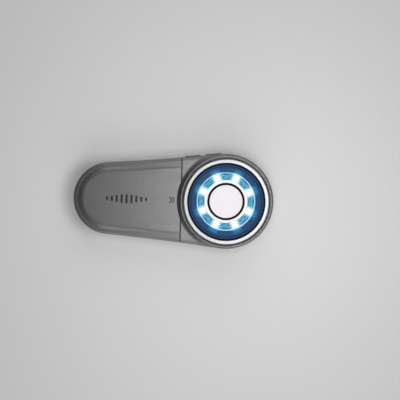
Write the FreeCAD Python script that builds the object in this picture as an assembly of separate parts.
import FreeCAD, Part

import math
import os

from FreeCAD import Placement, Rotation, Vector

# A hand-held skin-surface scanner (a dermatoscope): a flat paddle-shaped body whose round head
# holds a ring of lamps, a magnifier and a contact window that a turning dial moves in and out.
# Millimetres. The origin is on the optical axis, in the plane of the back that the body lies on.
# +X runs from the handle to the head, +Z runs out of the contact window.

# ---- outline, seen along Z -----------------------------------------------------------------
HEAD_R = 33.0               # round head, centred on the optical axis
NOSE_R = 25.1               # round tail end of the handle
NOSE_X = -80.9              # centre of the tail end
WAIST_R = 1300.0            # the long sides are hollow by this radius, tangent to head and tail
TAIL_X = NOSE_X - NOSE_R

# ---- casing --------------------------------------------------------------------------------
WALL = 1.8
FLOOR = 2.0
BACK_ROUND = 5.0            # rounding of the back's edge
FRONT_ROUND = 2.2           # rounding of the front's edge
SPLIT_Z = 13.5              # parting plane between the rear shell and the two front covers
SPLIT_GAP = 0.3             # shadow gap at the parting plane
COVER_Z = SPLIT_Z + SPLIT_GAP
LIP_IN = 1.0                # the rear shell's inner lip starts this far inside the outline
LIP_H = 1.0
LIP_PLAY = 0.06
FRONT_Z = 20.0              # raised panel of the handle, and the flats of the head cover
RIM_TAIL_Z = 17.7           # height of the handle's rim at the tail; it climbs to the seam
RIM_SEAM_Z = FRONT_Z - 0.05
RIM_INNER_Z = 16.2          # underside of the rim
PANEL_INSET = 7.2           # the panel's flat top starts this far inside the outline
PANEL_ROUND = 5.5           # radius of the shoulder that falls from the flat top to the rim
PANEL_FALL = 56.0           # degrees of that shoulder
PANEL_SECTIONS = 7
SEAM_X = -31.2              # seam between the handle cover and the head cover
SEAM_GAP = 0.7
SEAM_ARC_R = 33.3           # the seam runs round the head's collar at this radius
SEAL_INSET = (0.6, 2.6)     # the strip in the seam starts this far below the surface
SEAL_ROUND = 2.0

# ---- head, all radii from the optical axis -------------------------------------------------
COLLAR_R = 30.2             # mouth of the head cover, round the dial
COLLAR_TOP_Z = 25.5
COLLAR_MOUTH_H = 3.5
COLLAR_LIP = 1.2            # width of the collar's flat top
COVE_R = 3.2                # hollow rounding from the collar down to the flats
TURRET_R = 32.4             # outer wall of the sleeve under the collar
CHASSIS_R = 30.9
CHASSIS_Z = (13.9, 16.2)
DIAL_R = 29.3
DIAL_BORE = 26.85
DIAL_TOP = 28.0
DIAL_FACE_T = 1.5           # thickness of the dial's visible front ring
DIAL_FLANGE_R = 30.3
DIAL_FLANGE_Z = (17.2, 18.8)
DIAL_PLAY = 0.3             # gap between the dial and the head cover
SKIRT_BORE = 27.55
SLEEVE_R = (26.5, 27.4)     # fixed guide sleeve between the barrel and the dial
SLEEVE_TOP = 25.8
SLEEVE_FOOT = (24.9, 0.8)   # inner radius and thickness of the sleeve's foot
BARREL_R = (25.2, 26.4)
BARREL_Z = (17.3, 28.2)
GLASS_R = 25.7
GLASS_Z = (26.9, 28.4)
GASKET_R = 24.7
GASKET_T = 0.25
FOCUS_TRAVEL = 3.0          # the barrel comes out this far
FOCUS_TURN = 90.0           # while the dial turns this many degrees
CAM_PIN_R = 1.2
CAM_PIN_Z = 20.0
CAM_PINS = 3
CAM_PLAY = 0.06
KNURL_COUNT = 90
KNURL_R = 0.4

# ---- optics and lamps ----------------------------------------------------------------------
TUBE_R = (11.6, 12.8)
TUBE_Z = (3.5, 22.0)
TUBE_FLANGE = (15.2, 1.3)   # radius and thickness of the flange that seats on the chassis
LENS_R = 11.5
LENS_SEAT = (10.9, 0.6)     # inner radius and thickness of the seat at the tube's back
LENS_Z = TUBE_Z[0] + 0.65   # back of the first lens
FILM_SEAT_Z = 20.9
EYE_RECESS = (17.2, 2.6)    # socket for a phone adapter: radius, depth
EYE_HUB_TOP = 5.2
BEZEL_R = (10.8, 15.5)
BEZEL_Z = (2.6, 3.4)
BOARD_Z = (16.9, 17.9)      # lamp board
INNER_RING_R = (13.0, 14.9)
OUTER_RING_R = (19.6, 20.4)
BOARD_R = (INNER_RING_R[0], OUTER_RING_R[1] + 0.2)
LIGHT_RING_TOP = 21.4
LAMP_COUNT = 8
LAMP_RADIUS = 17.25
FILM_Z = (21.4, 22.0)
BAFFLE_MOUTH = (24.3, 26.0)  # radius and height of the funnel's rim

# ---- handle contents -----------------------------------------------------------------------
MAIN_BOARD_Z = (11.2, 12.2)
MAIN_BOARD_X = (-101.0, -34.6)
MAIN_BOARD_HALF_Y = 19.0
BOARD_FIXINGS = ((-93.0, 0.0), (-38.5, 12.0), (-38.5, -12.0))
BATTERY_X = (-90.0, -43.0)
BATTERY_HALF_Y = 17.0
BATTERY_Z = (2.7, 9.7)
PLUG_X = (-42.6, -38.9)
PLUG_Z = 9.1
USB_Z = 9.6
USB_MOUTH = (8.4, 2.6)      # width and height of the socket's opening
USB_METAL = 0.3
USB_Y = (-7.4, -0.6)        # depth range of the opening, behind the tail's outer face
FLEX_T = 0.25
FLEX_SLOT = (-21.6, -17.6, -4.6, 4.6)
GAUGE_X = -36.4             # row of charge lights in the back
GAUGE_Y = (-6.0, -2.0, 2.0, 6.0)
GAUGE_PIPE_R = 0.75

# ---- fasteners -----------------------------------------------------------------------------
TAIL_POSTS = (-95.5, 14.0)
SEAM_POSTS = (-36.5, 23.2)
HEAD_POSTS = (19.4, 19.4)
EAR = (-24.6, 21.6)         # chassis ears, outside the collar's sleeve
EAR_HALF = 2.4
POST_R = 2.9
POST_SPLIT = (12.5, 12.7)   # the shell's posts end and the cover's posts start
POST_TOP = 16.4
SCREW_R = 1.0
SCREW_HEAD_R = 1.9
SCREW_HEAD_Z = (0.7, 2.2)
SMALL_SCREW_R = 0.65
SMALL_HEAD_R = 1.6
INSERT_R = 1.6
INSERT_TOP = 15.9
FIT = 0.02                  # clearance of a pressed or glued fit

# ---- side buttons, sized in the wall's own frame with local Y pointing outwards -------------
BUTTON_X = {"power": -9.2, "mode": -23.6}
BUTTON_Z = 9.2
BUTTON_L = 11.0
BUTTON_H = 5.0
BUTTON_PLAY = 0.25
BUTTON_PROUD = 0.7
BUTTON_FLANGE_Y = (-2.9, -2.1)
BUTTON_STEM = (1.5, -5.0)   # radius, inner end
PLUNGER = (0.9, -6.6)       # radius, inner end
SWITCH_HALF = (3.0, 1.9)    # half the width and half the height of a switch
SWITCH_Y = (-9.0, -6.0)
SWITCH_WELL_R = 1.05
SWITCH_WELL_Y = -7.4
SWITCH_BOARD_HALF = 13.5
SWITCH_BOARD_Y = (-10.3, -9.25)
SWITCH_BOARD_Z = (2.6, 12.6)

FAR = 200.0                 # beyond the body in every direction, for cutting blocks


# ---- drawing helpers -----------------------------------------------------------------------
def disc(radius, z0, z1, x=0.0, y=0.0):
    return Part.makeCylinder(radius, z1 - z0, Vector(x, y, z0))


def bore(radius, x=0.0, y=0.0):
    """A cutting cylinder that runs right through the body."""
    return disc(radius, -FAR, FAR, x, y)


def tube(radii, z0, z1):
    return disc(radii[1], z0, z1).cut(bore(radii[0]))


def rod(radius, y0, y1):
    """A cylinder along local Y."""
    return Part.makeCylinder(radius, y1 - y0, Vector(0, y0, 0), Vector(0, 1, 0))


def radial_pin(radius, r0, r1, z):
    """A cylinder along X, from one distance off the optical axis to another."""
    return Part.makeCylinder(radius, r1 - r0, Vector(r0, 0, z), Vector(1, 0, 0))


def block(x0, x1, y0, y1, z0, z1):
    return Part.makeBox(x1 - x0, y1 - y0, z1 - z0, Vector(x0, y0, z0))


def join(first, *others):
    return first.fuse(list(others)).removeSplitter()


def polygon_face(corners):
    return Part.Face(Part.makePolygon(corners + corners[:1]))


def spun(face):
    """The solid that a face sweeps round the optical axis."""
    return face.revolve(Vector(0, 0, 0), Vector(0, 0, 1), 360)


def turned(points):
    """The solid that a closed (radius, z) polygon sweeps round the optical axis."""
    return spun(polygon_face([Vector(r, 0, z) for r, z in points]))


def arc(a, b, c):
    return Part.Arc(a, b, c).toShape()


def around(shape, degrees):
    """A copy of the shape, turned about the optical axis."""
    copy = shape.copy()
    copy.rotate(Vector(0, 0, 0), Vector(0, 0, 1), degrees)
    return copy


def ring_of(shape, count, first_degrees=0.0):
    return [around(shape, first_degrees + i * 360.0 / count) for i in range(count)]


def both_sides(point):
    """A place and its mirror image across the body's middle plane."""
    return [(point[0], point[1]), (point[0], -point[1])]


def rounded(shape, radius, wanted):
    edges = [e for e in shape.Edges if wanted(e)]
    return shape.makeFillet(radius, edges)


def in_halves(shape):
    """The same symmetric shape, split at the middle plane so that no face runs all the way round."""
    half = shape.common(block(-FAR, FAR, 0, FAR, -FAR, FAR))
    return half.fuse(half.mirror(Vector(0, 0, 0), Vector(0, 1, 0)))


def at_height(z):
    """Selects the edges that lie wholly at one height."""
    return lambda edge: abs(edge.BoundBox.ZMin - z) < 1e-4 and abs(edge.BoundBox.ZMax - z) < 1e-4


def placed(shape, frame):
    copy = shape.copy()
    copy.Placement = frame.multiply(copy.Placement)
    return copy


def pill(length, height, y0, y1):
    """A round-ended bar: length along X, height along Z, thickness from y0 to y1."""
    r, half = height / 2.0, (length - height) / 2.0
    top_left, top_right = Vector(-half, y0, r), Vector(half, y0, r)
    low_left, low_right = Vector(-half, y0, -r), Vector(half, y0, -r)
    edges = [
        Part.makeLine(top_left, top_right),
        arc(top_right, Vector(half + r, y0, 0), low_right),
        Part.makeLine(low_right, low_left),
        arc(low_left, Vector(-half - r, y0, 0), top_left),
    ]
    return Part.Face(Part.Wire(edges)).extrude(Vector(0, y1 - y0, 0))


# ---- the body's outline --------------------------------------------------------------------
def waist_centre():
    """Centre of the +Y side's hollow arc: outside the head and tail circles, touching both."""
    to_head, to_nose = WAIST_R + HEAD_R, WAIST_R + NOSE_R
    x = (to_head**2 - to_nose**2 + NOSE_X**2) / (2 * NOSE_X)
    return Vector(x, math.sqrt(to_head**2 - x**2), 0)


def outline(inset):
    """The body's outline as a face, drawn in by inset all round. It is four tangent arcs."""
    waist = waist_centre()
    nose = Vector(NOSE_X, 0, 0)
    head_touch = Vector(waist).normalize() * (HEAD_R - inset)
    nose_touch = nose + (waist - nose).normalize() * (NOSE_R - inset)
    middle = (head_touch + nose_touch) * 0.5
    waist_mid = waist + (middle - waist).normalize() * (WAIST_R + inset)

    def mirrored(p):
        return Vector(p.x, -p.y, p.z)

    edges = [
        arc(mirrored(head_touch), Vector(HEAD_R - inset, 0, 0), head_touch),
        arc(head_touch, waist_mid, nose_touch),
        arc(nose_touch, Vector(TAIL_X + inset, 0, 0), mirrored(nose_touch)),
        arc(mirrored(nose_touch), mirrored(waist_mid), mirrored(head_touch)),
    ]
    return Part.Face(Part.Wire(edges))


def slab(inset, z0, z1):
    face = outline(inset)
    face.translate(Vector(0, 0, z0))
    return face.extrude(Vector(0, 0, z1 - z0))


def touches_outline(edge):
    """True for an edge on the body's side wall."""
    middle = edge.valueAt((edge.FirstParameter + edge.LastParameter) / 2)
    waist = waist_centre()
    to_head = abs(math.hypot(middle.x, middle.y) - HEAD_R)
    to_nose = abs(math.hypot(middle.x - NOSE_X, middle.y) - NOSE_R)
    to_waist = abs(math.hypot(middle.x - waist.x, abs(middle.y) - waist.y) - WAIST_R)
    return min(to_head, to_nose, to_waist) < 1e-3


def wall_spot(x):
    """Frame of the +Y side wall at x: origin on the outer face, local +Y straight outwards."""
    waist = waist_centre()
    y = waist.y - math.sqrt(WAIST_R**2 - (x - waist.x) ** 2)
    outward = math.degrees(math.atan2(waist.y - y, waist.x - x))
    return Placement(Vector(x, y, 0), Rotation(Vector(0, 0, 1), outward - 90.0))


def button_frame(x):
    """Frame of a side button: on the +Y wall at x, at the buttons' height."""
    return Placement(Vector(0, 0, BUTTON_Z), Rotation()).multiply(wall_spot(x))


def usb_frame():
    """Frame at the tail's outer face, local +Y pointing out of the tail."""
    return Placement(Vector(TAIL_X, 0, USB_Z), Rotation(Vector(0, 0, 1), 90))


# ---- where things are screwed together -----------------------------------------------------
def cover_posts():
    return both_sides(TAIL_POSTS) + both_sides(SEAM_POSTS)


def all_posts():
    return cover_posts() + both_sides(HEAD_POSTS)


def bores(radius, places):
    return [bore(radius, x, y) for x, y in places]


def ear_blank(x, y, grow, z0, z1):
    """Round-ended arm from the chassis out to one ear."""
    length = math.hypot(x, y)
    half = EAR_HALF + grow
    root = CHASSIS_R - 6
    arm = block(root, length, -half, half, z0, z1).fuse(disc(half, z0, z1, length, 0))
    return around(arm, math.degrees(math.atan2(y, x)))


# ---- where the two front covers meet -------------------------------------------------------
def head_side():
    """Space on the head's side of the seam."""
    right = block(SEAM_X + SEAM_GAP / 2, FAR, -FAR, FAR, -FAR, FAR)
    return right.fuse(bore(SEAM_ARC_R))


def handle_side():
    """Space on the handle's side of the seam."""
    left = block(-FAR, SEAM_X - SEAM_GAP / 2, -FAR, FAR, -FAR, FAR)
    return left.cut(bore(SEAM_ARC_R + SEAM_GAP))


def lip_relief():
    """Room in a cover for the rear shell's lip."""
    return slab(LIP_IN - LIP_PLAY, SPLIT_Z - 1, SPLIT_Z + LIP_H + 0.1)


# ---- casing --------------------------------------------------------------------------------
def make_rear_shell():
    outer = rounded(slab(0, 0, SPLIT_Z), BACK_ROUND, at_height(0))
    cavity = rounded(slab(WALL, FLOOR, SPLIT_Z + 1), BACK_ROUND - WALL, at_height(FLOOR))
    lip = slab(LIP_IN, SPLIT_Z, SPLIT_Z + LIP_H).cut(slab(WALL, SPLIT_Z - 1, SPLIT_Z + 2))
    shell = join(outer.cut(cavity), lip)
    sunk = FLOOR / 2
    recess_r, recess_depth = EYE_RECESS
    hub = disc(recess_r + WALL, sunk, EYE_HUB_TOP)
    posts = [disc(POST_R, sunk, POST_SPLIT[0], x, y) for x, y in cover_posts()]
    posts += [disc(POST_R, sunk, CHASSIS_Z[0], x, y) for x, y in both_sides(HEAD_POSTS)]
    shell = join(shell, hub, *posts, *cell_ribs(sunk))
    cuts = [
        disc(recess_r, -1, recess_depth),
        disc(BEZEL_R[1] + 0.1, 0, BEZEL_Z[1]),
        disc(TUBE_R[1] + 0.2, 0, EYE_HUB_TOP + 1),
    ]
    cuts += [disc(SCREW_HEAD_R + 0.2, -1, SCREW_HEAD_Z[1], x, y) for x, y in all_posts()]
    cuts += bores(SCREW_R + 0.15, all_posts())
    cuts += [disc(GAUGE_PIPE_R + 0.1, -1, FLOOR + 1, GAUGE_X, y) for y in GAUGE_Y]
    return shell.cut(cuts + side_windows() + usb_windows())


def cell_ribs(z0):
    """Low ribs that hold the cell at both ends."""
    thick, length, gap, top = 0.8, 10.0, 0.4, 5.5
    rows = (BATTERY_X[0] - gap - thick, BATTERY_X[1] + gap)
    return [block(x, x + thick, y, y + length, z0, top) for x in rows for y in (-4 - length, 4)]


def side_windows():
    grown = pill(BUTTON_L + 2 * BUTTON_PLAY, BUTTON_H + 2 * BUTTON_PLAY, -WALL - 1, 2)
    return [placed(grown, button_frame(x)) for x in BUTTON_X.values()]


def usb_windows():
    """The socket's own opening, and a shallow dish around it for the plug's overmould."""
    width, height = USB_MOUTH
    opening = pill(width + 1.2, height + 1.2, -WALL - 1, 2)
    dish = pill(width + 3.0, height + 3.0, -0.7, 2)
    return [placed(shape, usb_frame()) for shape in (opening, dish)]


def make_handle_cover():
    outer = slab(0, COVER_Z, FRONT_Z + 3).cut(above_rim())
    outer = rounded(outer, FRONT_ROUND, lambda e: e.BoundBox.ZMin > RIM_TAIL_Z - 0.5)
    cover = join(outer, raised_panel()).common(handle_side())
    hollow = [
        slab(WALL, COVER_Z - 1, RIM_INNER_Z),
        slab(PANEL_INSET + WALL, RIM_INNER_Z - 0.2, FRONT_Z - WALL),
        lip_relief(),
    ]
    cover = cover.cut(hollow)
    posts = [disc(POST_R, POST_SPLIT[1], POST_TOP, x, y) for x, y in cover_posts()]
    pockets = [disc(INSERT_R + FIT, 0, INSERT_TOP + 0.1, x, y) for x, y in cover_posts()]
    return join(cover, *posts).cut(pockets)


def above_rim():
    """Everything above the rim's plane, which climbs from the tail to the seam."""
    slope = math.atan2(RIM_SEAM_Z - RIM_TAIL_Z, SEAM_X - TAIL_X)
    above = block(-FAR, FAR, -FAR, FAR, 0, FAR)
    above.rotate(Vector(0, 0, 0), Vector(0, 1, 0), -math.degrees(slope))
    above.translate(Vector(SEAM_X, 0, RIM_SEAM_Z))
    return above


def raised_panel():
    """The panel and its shoulder, which is an arc tangent to the flat top."""
    wires = []
    for i in range(PANEL_SECTIONS):
        fall = math.radians(PANEL_FALL) * (1 - i / (PANEL_SECTIONS - 1))
        wire = outline(PANEL_INSET - PANEL_ROUND * math.sin(fall)).OuterWire
        wire.translate(Vector(0, 0, FRONT_Z - PANEL_ROUND * (1 - math.cos(fall))))
        wires.append(wire)
    return Part.makeLoft(wires, True, False)


def make_head_cover():
    body = join(slab(0, COVER_Z, FRONT_Z), collar())
    on_rim = [e for e in body.Edges if e.BoundBox.ZMin > FRONT_Z - 1e-4 and touches_outline(e)]
    body = in_halves(body.makeFillet(FRONT_ROUND, on_rim)).common(head_side())
    flange_room = DIAL_FLANGE_R + DIAL_PLAY
    cover = body.cut(
        [
            slab(WALL, COVER_Z - 1, FRONT_Z - WALL).cut(bore(TURRET_R)),
            lip_relief(),
            disc(CHASSIS_R + 0.1, 0, CHASSIS_Z[1] + 0.2),
            disc(flange_room, 0, DIAL_FLANGE_Z[1] + DIAL_PLAY),
            disc(DIAL_R + DIAL_PLAY, 0, FAR),
            disc(COLLAR_R, COLLAR_TOP_Z - COLLAR_MOUTH_H, FAR),
        ]
    )
    boss_z = (CHASSIS_Z[1] + 0.1, FRONT_Z - WALL + 0.3)
    bosses = [disc(EAR_HALF + 0.1, *boss_z, x, y).cut(bore(flange_room)) for x, y in both_sides(EAR)]
    cover = join(cover, *bosses)
    cuts = [ear_blank(x, y, 0.25, COVER_Z - 1, boss_z[0]) for x, y in both_sides(EAR)]
    cuts += [disc(SMALL_SCREW_R + 0.05, 0, FRONT_Z - 2.4, x, y) for x, y in both_sides(EAR)]
    return cover.cut(cuts)


def collar():
    """The wall round the dial, flaring down to the flats in a hollow rounding."""
    wall_r = COLLAR_R + COLLAR_LIP
    foot_r = wall_r + COVE_R
    shoulder_z = FRONT_Z + COVE_R
    bulge = COVE_R * (1 - math.sqrt(0.5))
    axis_low, foot_low = Vector(0, 0, COVER_Z), Vector(foot_r, 0, COVER_Z)
    foot, shoulder = Vector(foot_r, 0, FRONT_Z), Vector(wall_r, 0, shoulder_z)
    wall_top, axis_top = Vector(wall_r, 0, COLLAR_TOP_Z), Vector(0, 0, COLLAR_TOP_Z)
    edges = [
        Part.makeLine(axis_low, foot_low),
        Part.makeLine(foot_low, foot),
        arc(foot, Vector(wall_r + bulge, 0, FRONT_Z + bulge), shoulder),
        Part.makeLine(shoulder, wall_top),
        Part.makeLine(wall_top, axis_top),
        Part.makeLine(axis_top, axis_low),
    ]
    return spun(Part.Face(Part.Wire(edges))).common(slab(0, COVER_Z - 1, COLLAR_TOP_Z + 1))


def make_seam_seal():
    """Black strip that fills the seam to just under the surface."""
    outer_in, inner_in = SEAL_INSET
    top = FRONT_Z - outer_in
    outer = rounded(slab(outer_in, COVER_Z + 0.1, top), SEAL_ROUND, at_height(top))
    ring = outer.cut(slab(inner_in, COVER_Z - 1, FRONT_Z - WALL - 0.4)).cut(lip_relief())
    return ring.cut(head_side()).cut(handle_side())


# ---- optical chassis -----------------------------------------------------------------------
def make_optic_chassis():
    arms = [ear_blank(x, y, 0, *CHASSIS_Z) for x, y in both_sides(EAR)]
    plate = join(disc(CHASSIS_R, *CHASSIS_Z), *arms)
    cuts = [bore(TUBE_R[1] + 0.1), block(*FLEX_SLOT, 0, FAR)]
    cuts += bores(SMALL_SCREW_R + 0.3, both_sides(EAR))
    cuts += bores(SCREW_R + FIT, both_sides(HEAD_POSTS))
    return plate.cut(cuts)


def make_guide_sleeve():
    foot_r, foot_t = SLEEVE_FOOT
    foot = tube((foot_r, SLEEVE_R[1]), CHASSIS_Z[1], CHASSIS_Z[1] + foot_t)
    wall = tube(SLEEVE_R, CHASSIS_Z[1], SLEEVE_TOP)
    top = CAM_PIN_Z + FOCUS_TRAVEL
    half = CAM_PIN_R + CAM_PLAY
    reach = (BARREL_R[0] - 1, DIAL_FLANGE_R)
    slot = block(*reach, -half, half, CAM_PIN_Z, top)
    ends = [radial_pin(half, *reach, z) for z in (CAM_PIN_Z, top)]
    return join(foot, wall).cut(ring_of(slot.fuse(ends), CAM_PINS))


def make_dial_washer():
    return tube((SKIRT_BORE + 0.3, DIAL_FLANGE_R), CHASSIS_Z[1], DIAL_FLANGE_Z[0] - 0.25)


# ---- magnifier -----------------------------------------------------------------------------
def lens(z0, z1, low_sag, high_sag):
    """A lens on the optical axis between z0 and z1; a positive sag bulges, a negative one dips."""

    def face_arc(apex, sag, direction):
        ball = (LENS_R**2 + sag**2) / (2 * abs(sag))
        rise = math.copysign(ball - math.sqrt(ball**2 - (LENS_R / 2) ** 2), sag)
        return [
            Vector(0, 0, apex),
            Vector(LENS_R / 2, 0, apex + direction * rise),
            Vector(LENS_R, 0, apex + direction * sag),
        ]

    low = face_arc(z0 if low_sag > 0 else z0 - low_sag, low_sag, 1)
    high = face_arc(z1 if high_sag > 0 else z1 + high_sag, high_sag, -1)
    edges = [
        arc(*low),
        Part.makeLine(low[2], high[2]),
        arc(*high[::-1]),
        Part.makeLine(high[0], low[0]),
    ]
    return spun(Part.Face(Part.Wire(edges)))


def make_lenses():
    """Eye lens, middle lens and front lens of the magnifier, from the back to the front."""
    return {
        "eye_lens": lens(LENS_Z, LENS_Z + 4.2, 1.5, 1.5),
        "middle_lens": lens(LENS_Z + 5.2, LENS_Z + 8.2, -0.7, 1.1),
        "front_lens": lens(LENS_Z + 10.2, LENS_Z + 14.6, 1.6, 1.2),
    }


def make_lens_spacers():
    """Rings between the lenses, each cut to the lens faces that it touches."""
    lenses = list(make_lenses().values())
    gaps = (
        (LENS_Z + 2.8, LENS_Z + 5.1),
        (LENS_Z + 7.15, LENS_Z + 11.75),
        (LENS_Z + 13.45, FILM_SEAT_Z),
    )
    return [tube((LENS_R - 0.7, LENS_R), low, high).cut(lenses) for low, high in gaps]


def make_lens_tube():
    seat_r, seat_t = LENS_SEAT
    flange_r, flange_t = TUBE_FLANGE
    body = tube(TUBE_R, *TUBE_Z)
    flange = tube((TUBE_R[0], flange_r), CHASSIS_Z[0] - flange_t, CHASSIS_Z[0])
    seat = tube((seat_r, TUBE_R[0] + 0.1), TUBE_Z[0], TUBE_Z[0] + seat_t)
    return join(body, flange, seat)


def make_analyser_filter():
    return disc(LENS_R, FILM_SEAT_Z + FIT, TUBE_Z[1] - 0.45)


def make_eyepiece_bezel():
    r0, r1 = BEZEL_R
    z0, z1 = BEZEL_Z
    return turned([(r0, z1), (r0 + 0.6, z0), (r1, z0), (r1, z1)])


# ---- lamp ring -----------------------------------------------------------------------------
def make_led_board():
    return tube(BOARD_R, *BOARD_Z)


def make_thermal_pad():
    return tube(BOARD_R, CHASSIS_Z[1], BOARD_Z[0]).cut(block(*FLEX_SLOT, 0, FAR))


def make_lit_leds():
    """Square packages with a domed lens, halfway between the standby lamps."""
    half, height = 1.75, 0.8
    cap_r, cap_h, ball = 1.6, 0.9, 2.2
    z = BOARD_Z[1]
    top = z + height
    body = block(LAMP_RADIUS - half, LAMP_RADIUS + half, -half, half, z, top)
    cap = Part.makeSphere(ball, Vector(LAMP_RADIUS, 0, top + cap_h - ball))
    cap = cap.common(disc(cap_r, top, top + ball, LAMP_RADIUS, 0))
    return ring_of(join(body, cap), LAMP_COUNT, 180.0 / LAMP_COUNT)


def make_standby_leds():
    """Flat packages with an open well."""
    half_r, half_w, height = 1.2, 1.5, 0.9
    well_r, well_depth = 0.95, 0.25
    z = BOARD_Z[1]
    body = block(LAMP_RADIUS - half_r, LAMP_RADIUS + half_r, -half_w, half_w, z, z + height)
    well = disc(well_r, z + height - well_depth, z + 2 * height, LAMP_RADIUS, 0)
    return ring_of(body.cut(well), LAMP_COUNT)


def make_led_resistors():
    """A chip resistor on each side of every standby lamp."""
    half_l, half_w, height, off = 1.0, 0.4, 0.5, 2.3
    z = BOARD_Z[1]
    pieces = []
    for y in (-off, off):
        chip = block(LAMP_RADIUS - half_l, LAMP_RADIUS + half_l, y - half_w, y + half_w, z, z + height)
        pieces += ring_of(chip, LAMP_COUNT)
    return pieces


def make_inner_light_ring():
    r0, r1 = INNER_RING_R
    z0, z1, edge = BOARD_Z[1], LIGHT_RING_TOP, 0.5
    return turned([(r0, z0), (r1, z0), (r1, z1 - edge), (r1 - edge, z1), (r0, z1)])


def make_outer_light_ring():
    r0, r1 = OUTER_RING_R
    z0, z1, edge = BOARD_Z[1], LIGHT_RING_TOP, 0.2
    return turned([(r0, z0), (r1, z0), (r1, z1), (r0 + edge, z1), (r0, z1 - edge)])


def make_polariser_ring():
    return tube((INNER_RING_R[0], OUTER_RING_R[1]), *FILM_Z)


def make_light_baffle():
    """Dark funnel from the lamps out to the contact window."""
    foot_r, foot_z = OUTER_RING_R[1] + 0.25, CHASSIS_Z[1]
    wall, foot_w, rim_w, rim_h = 0.8, 2.4, 0.3, 1.1
    top_r, top_z = BAFFLE_MOUTH
    points = [
        (foot_r, foot_z),
        (foot_r + foot_w, foot_z),
        (foot_r + foot_w, foot_z + wall),
        (foot_r + wall, foot_z + wall),
        (foot_r + wall, FILM_Z[0]),
        (top_r, top_z - rim_h),
        (top_r, top_z),
        (top_r - rim_w, top_z),
        (foot_r, FILM_Z[1] + 0.1),
    ]
    return turned(points)


# ---- focusing dial and contact barrel ------------------------------------------------------
def cam_slot():
    """Slanted slot in the dial: as the dial turns, its edge lifts the cam pin by the travel."""
    radius = (SKIRT_BORE + DIAL_R) / 2
    half = CAM_PIN_R + CAM_PLAY
    inner, outer = radius - 1.4, radius + 1.4
    pitch = FOCUS_TRAVEL * 360.0 / FOCUS_TURN
    helix = Part.makeHelix(pitch, FOCUS_TRAVEL, radius, 0, True)
    corners = [Vector(r, 0, z) for r, z in ((inner, -half), (outer, -half), (outer, half), (inner, half))]
    profile = Part.makePolygon(corners + corners[:1])
    run = Part.Wire(helix.Edges).makePipeShell([profile], True, True)
    run.translate(Vector(0, 0, CAM_PIN_Z))
    start = radial_pin(half, inner, outer, CAM_PIN_Z)
    end = around(radial_pin(half, inner, outer, CAM_PIN_Z + FOCUS_TRAVEL), -FOCUS_TURN)
    return run, start, end


def make_focus_dial():
    """The silver ring, its knurled edge, and the skirt and flange that turn inside the collar."""
    flange_low, flange_top = DIAL_FLANGE_Z
    outer_edge, inner_edge = 0.35, 0.25
    points = [
        (SKIRT_BORE, flange_low),
        (DIAL_FLANGE_R, flange_low),
        (DIAL_FLANGE_R, flange_top),
        (DIAL_R, flange_top),
        (DIAL_R, DIAL_TOP - outer_edge),
        (DIAL_R - outer_edge, DIAL_TOP),
        (DIAL_BORE + inner_edge, DIAL_TOP),
        (DIAL_BORE, DIAL_TOP - inner_edge),
        (DIAL_BORE, DIAL_TOP - DIAL_FACE_T),
        (SKIRT_BORE, DIAL_TOP - DIAL_FACE_T),
    ]
    groove_z = (COLLAR_TOP_Z + 0.3, DIAL_TOP - 0.8)
    groove = disc(KNURL_R, *groove_z, DIAL_R + 0.18, 0)
    dial = turned(points).cut(ring_of(groove, KNURL_COUNT, 180.0 / KNURL_COUNT))
    for piece in cam_slot():
        dial = dial.cut(ring_of(piece, CAM_PINS))
    return dial


def make_contact_barrel():
    r0, r1 = BARREL_R
    z0, z1 = BARREL_Z
    seat_r = GLASS_R + CAM_PLAY
    seat_z = GLASS_Z[0] - GASKET_T
    ledge_r = GASKET_R - 0.1
    points = [
        (r0, z0),
        (r1, z0),
        (r1, z1 - 0.2),
        (r1 - 0.2, z1),
        (seat_r, z1),
        (seat_r, seat_z),
        (ledge_r, seat_z),
        (ledge_r, seat_z - 0.4),
        (r0, seat_z - 0.85),
    ]
    hole = radial_pin(CAM_PIN_R + FIT, r0 - 1, r1 + 1, CAM_PIN_Z)
    return turned(points).cut(ring_of(hole, CAM_PINS))


def make_cam_pins():
    pin = radial_pin(CAM_PIN_R, BARREL_R[0] + 0.1, DIAL_R - 0.4, CAM_PIN_Z)
    return ring_of(pin, CAM_PINS)


def make_glass_gasket():
    return tube((GASKET_R, GLASS_R), GLASS_Z[0] - GASKET_T, GLASS_Z[0])


def make_contact_glass():
    z0, z1 = GLASS_Z
    edge = 0.3
    return turned([(0, z0), (GLASS_R, z0), (GLASS_R, z1 - edge), (GLASS_R - edge, z1), (0, z1)])


# ---- buttons -------------------------------------------------------------------------------
def button_parts(x):
    """Cap and plunger of one side button, pressed along local -Y."""
    flange_in, flange_out = BUTTON_FLANGE_Y
    stem_r, stem_end = BUTTON_STEM
    plunger_r, plunger_end = PLUNGER
    cap = pill(BUTTON_L, BUTTON_H, flange_out, BUTTON_PROUD)
    cap = rounded(cap, 0.4, lambda e: e.BoundBox.YMin > BUTTON_PROUD - 1e-4)
    flange = pill(BUTTON_L + 2.4, BUTTON_H + 2.2, flange_in, flange_out)
    cap = join(cap, flange, rod(stem_r, stem_end, flange_in + 0.2))
    plunger = rod(plunger_r, plunger_end, stem_end)
    return [placed(shape, button_frame(x)) for shape in (cap, plunger)]


def make_tact_switches():
    half_w, half_h = SWITCH_HALF
    body = block(-half_w, half_w, *SWITCH_Y, -half_h, half_h)
    body = body.cut(rod(SWITCH_WELL_R, SWITCH_WELL_Y, SWITCH_Y[1]))
    return [placed(body, button_frame(x)) for x in BUTTON_X.values()]


def switch_board_frame():
    return wall_spot(sum(BUTTON_X.values()) / len(BUTTON_X))


def make_switch_board():
    board = block(-SWITCH_BOARD_HALF, SWITCH_BOARD_HALF, *SWITCH_BOARD_Y, *SWITCH_BOARD_Z)
    return placed(board, switch_board_frame())


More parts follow.
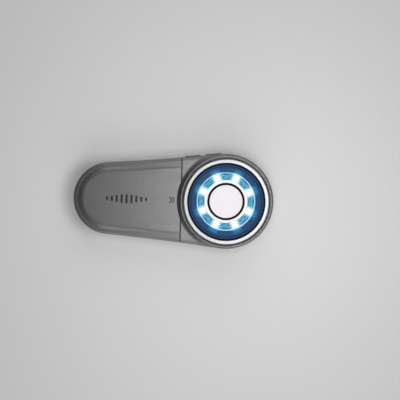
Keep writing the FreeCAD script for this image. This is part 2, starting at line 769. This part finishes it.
def make_switch_flex():
    """Flat cable from the switch board to the underside of the main board."""
    start_y = SWITCH_BOARD_Y[0]
    inner_y = start_y - 3.2
    bottom = 8.0
    route = ((-9.0, start_y), (-SWITCH_BOARD_HALF, start_y), (-19.0, inner_y), (-22.0, inner_y))
    there = [Vector(x, y, bottom) for x, y in route]
    back = [Vector(x - 0.1, y - FLEX_T, bottom) for x, y in route[::-1]]
    strip = polygon_face(there + back).extrude(Vector(0, 0, MAIN_BOARD_Z[0] - bottom))
    return placed(strip, switch_board_frame())


# ---- handle contents -----------------------------------------------------------------------
def make_main_board():
    half = MAIN_BOARD_HALF_Y
    board = slab(5.0, *MAIN_BOARD_Z).common(block(*MAIN_BOARD_X, -half, half, *MAIN_BOARD_Z))
    return board.cut(bores(POST_R + 0.4, both_sides(TAIL_POSTS)))


def make_board_supports():
    """Threaded spacers that carry the main board beside the cell."""
    return [disc(1.5, FLOOR, MAIN_BOARD_Z[0], x, y) for x, y in BOARD_FIXINGS]


def make_board_screws():
    z = MAIN_BOARD_Z[1]
    return [cross_head(1.5, z, z + 0.9, x, y, 1) for x, y in BOARD_FIXINGS]


def make_board_chips():
    """Controller, charger and driver packages on the upper face: x, y, length, width, height."""
    z = MAIN_BOARD_Z[1]
    packages = (
        (-70.0, 2.0, 7.0, 7.0, 0.9),
        (-85.0, -6.0, 4.0, 4.0, 0.8),
        (-52.0, -8.0, 5.0, 4.0, 1.0),
        (-57.0, 7.5, 6.0, 5.0, 1.1),
    )
    return [
        block(x - length / 2, x + length / 2, y - width / 2, y + width / 2, z, z + height)
        for x, y, length, width, height in packages
    ]


def make_board_passives():
    """Two rows of small chip parts and the power inductor."""
    z = MAIN_BOARD_Z[1]
    first_x, pitch, count = -83.0, 3.4, 9
    length, width, height = 1.6, 0.8, 0.6
    parts = []
    for i in range(count):
        x = first_x + pitch * i
        for y in (11.0, -14.2):
            parts.append(block(x, x + length, y, y + width, z, z + height))
    coil_h = 2.2
    inductor = block(-47.5, -42.5, 2.5, 7.5, z, z + coil_h)
    parts.append(rounded(inductor, 1.2, lambda e: abs(e.BoundBox.ZLength - coil_h) < 1e-4))
    return parts


def make_usb_socket():
    width, height = USB_MOUTH
    back, front = USB_Y
    shell = pill(width + 2 * USB_METAL, height + 2 * USB_METAL, back - 0.5, front)
    return placed(shell.cut(pill(width, height, back, 1)), usb_frame())


def make_usb_tongue():
    half_w, half_t, length = 3.3, 0.35, 5.0
    back = USB_Y[0]
    return placed(block(-half_w, half_w, back, back + length, -half_t, half_t), usb_frame())


def make_battery_cell():
    x0, x1 = BATTERY_X
    cell = block(x0, x1, -BATTERY_HALF_Y, BATTERY_HALF_Y, *BATTERY_Z)
    return rounded(cell, 2.2, lambda e: abs(e.BoundBox.XLength - (x1 - x0)) < 1e-4)


def make_battery_pad():
    margin = 3.0
    half = BATTERY_HALF_Y - margin
    return block(BATTERY_X[0] + margin, BATTERY_X[1] - margin, -half, half, FLOOR, BATTERY_Z[0])


def make_battery_leads():
    """Two leads that turn up from the cell's end into the plug under the board."""
    bend, lead_r, spacing = 2.0, 0.55, 2.4
    start_z = 5.2
    x_end = BATTERY_X[1]
    turn_x = x_end + 2.3
    bend_x, bend_z = turn_x - bend, start_z + bend
    leads = []
    for y in (-spacing / 2, spacing / 2):
        start, bend_low = Vector(x_end, y, start_z), Vector(bend_x, y, start_z)
        bend_top, end = Vector(turn_x, y, bend_z), Vector(turn_x, y, PLUG_Z)
        middle = Vector(bend_x + bend * math.sqrt(0.5), y, bend_z - bend * math.sqrt(0.5))
        low_run = Part.makeLine(start, bend_low)
        high_run = Part.makeLine(bend_top, end)
        route = Part.Wire([low_run, arc(bend_low, middle, bend_top), high_run])
        section = Part.Wire(Part.makeCircle(lead_r, start, Vector(1, 0, 0)))
        leads.append(route.makePipeShell([section], True, True))
    return leads


def make_battery_plug():
    half = 3.0
    return block(*PLUG_X, -half, half, PLUG_Z, MAIN_BOARD_Z[0])


def make_light_flex():
    """Flat flexible cable from the main board, under the chassis, up to the lamp board."""
    half = 3.5
    z_low, z_run, z_high = MAIN_BOARD_Z[1], 12.95, BOARD_Z[0]
    x_start, x_edge, x_step, x_rise = -40.0, -33.6, -32.6, -19.6
    points = [
        (x_start, z_low),
        (x_edge, z_low),
        (x_step, z_run),
        (x_rise, z_run),
        (x_rise, z_high),
        (x_rise - FLEX_T, z_high),
        (x_rise - FLEX_T, z_run + FLEX_T),
        (x_step - 0.1, z_run + FLEX_T),
        (x_edge - 0.1, z_low + FLEX_T),
        (x_start, z_low + FLEX_T),
    ]
    return polygon_face([Vector(x, -half, z) for x, z in points]).extrude(Vector(0, 2 * half, 0))


def make_gauge_light_pipes():
    return [disc(GAUGE_PIPE_R, 0, MAIN_BOARD_Z[0] - 0.9, GAUGE_X, y) for y in GAUGE_Y]


def make_gauge_leds():
    half_l, half_w, height = 0.8, 0.5, 0.7
    x0, x1 = GAUGE_X - half_l, GAUGE_X + half_l
    top = MAIN_BOARD_Z[0]
    return [block(x0, x1, y - half_w, y + half_w, top - height, top) for y in GAUGE_Y]


# ---- fasteners -----------------------------------------------------------------------------
def cross_head(radius, z0, z1, x, y, up):
    """A screw head with a cross recess, open upwards (up=1) or downwards (up=-1)."""
    depth = (z1 - z0) * 0.6
    low, high = (z1 - depth, z1 + 1) if up > 0 else (z0 - 1, z0 + depth)
    arm, half = radius * 0.62, radius * 0.13
    slots = [
        block(x - arm, x + arm, y - half, y + half, low, high),
        block(x - half, x + half, y - arm, y + arm, low, high),
    ]
    return disc(radius, z0, z1, x, y).cut(slots)


def make_case_screws():
    """Six screws from the back: four into the handle cover's inserts, two into the chassis."""
    head_low, head_top = SCREW_HEAD_Z
    ends = {place: INSERT_TOP - 0.3 for place in cover_posts()}
    ends.update({place: CHASSIS_Z[1] for place in both_sides(HEAD_POSTS)})
    screws = []
    for (x, y), tip in ends.items():
        head = cross_head(SCREW_HEAD_R, head_low, head_top, x, y, -1)
        screws.append(join(head, disc(SCREW_R, head_top - 0.2, tip, x, y)))
    return screws


def make_thread_inserts():
    return [
        disc(INSERT_R, POST_SPLIT[1], INSERT_TOP, x, y).cut(bore(SCREW_R + 0.05, x, y))
        for x, y in cover_posts()
    ]


def make_chassis_screws():
    """Two screws that hold the chassis up against the head cover."""
    seat = CHASSIS_Z[0]
    screws = []
    for x, y in both_sides(EAR):
        head = cross_head(SMALL_HEAD_R, seat - 1.1, seat, x, y, -1)
        screws.append(join(head, disc(SMALL_SCREW_R, seat - 0.1, FRONT_Z - 2.6, x, y)))
    return screws


# ---- output --------------------------------------------------------------------------------
def save(name, made):
    """Writes one node; made is a solid or a list of solids."""
    shapes = made if isinstance(made, list) else [made]
    solids = [solid for shape in shapes for solid in shape.Solids]
    if len(solids) != len(shapes) or not all(s.isValid() for s in solids):
        raise RuntimeError(f"{name}: {len(solids)} solids from {len(shapes)} shapes, or one is not valid")
    out = solids[0] if len(solids) == 1 else Part.makeCompound(solids)
    out.exportStep(f"parts/{name}.step")
    print(f"{name:20s} {len(solids):3d} solids {sum(s.Volume for s in solids):10.1f} mm3")


def main():
    os.makedirs("parts", exist_ok=True)
    nodes = {
        "rear_shell": make_rear_shell(),
        "handle_cover": make_handle_cover(),
        "head_cover": make_head_cover(),
        "seam_seal": make_seam_seal(),
        "optic_chassis": make_optic_chassis(),
        "guide_sleeve": make_guide_sleeve(),
        "dial_washer": make_dial_washer(),
        "lens_tube": make_lens_tube(),
        "lens_spacers": make_lens_spacers(),
        "analyser_filter": make_analyser_filter(),
        "eyepiece_bezel": make_eyepiece_bezel(),
        "led_board": make_led_board(),
        "thermal_pad": make_thermal_pad(),
        "lit_leds": make_lit_leds(),
        "standby_leds": make_standby_leds(),
        "led_resistors": make_led_resistors(),
        "inner_light_ring": make_inner_light_ring(),
        "outer_light_ring": make_outer_light_ring(),
        "polariser_ring": make_polariser_ring(),
        "light_baffle": make_light_baffle(),
        "focus_dial": make_focus_dial(),
        "contact_barrel": make_contact_barrel(),
        "cam_pins": make_cam_pins(),
        "glass_gasket": make_glass_gasket(),
        "contact_glass": make_contact_glass(),
        "tact_switches": make_tact_switches(),
        "switch_board": make_switch_board(),
        "switch_flex": make_switch_flex(),
        "main_board": make_main_board(),
        "board_supports": make_board_supports(),
        "board_screws": make_board_screws(),
        "board_chips": make_board_chips(),
        "board_passives": make_board_passives(),
        "usb_socket": make_usb_socket(),
        "usb_tongue": make_usb_tongue(),
        "battery_cell": make_battery_cell(),
        "battery_pad": make_battery_pad(),
        "battery_leads": make_battery_leads(),
        "battery_plug": make_battery_plug(),
        "light_flex": make_light_flex(),
        "gauge_light_pipes": make_gauge_light_pipes(),
        "gauge_leds": make_gauge_leds(),
        "case_screws": make_case_screws(),
        "thread_inserts": make_thread_inserts(),
        "chassis_screws": make_chassis_screws(),
    }
    nodes.update(make_lenses())
    for label, x in BUTTON_X.items():
        nodes[f"{label}_button"], nodes[f"{label}_plunger"] = button_parts(x)
    for name, made in nodes.items():
        save(name, made)


main()
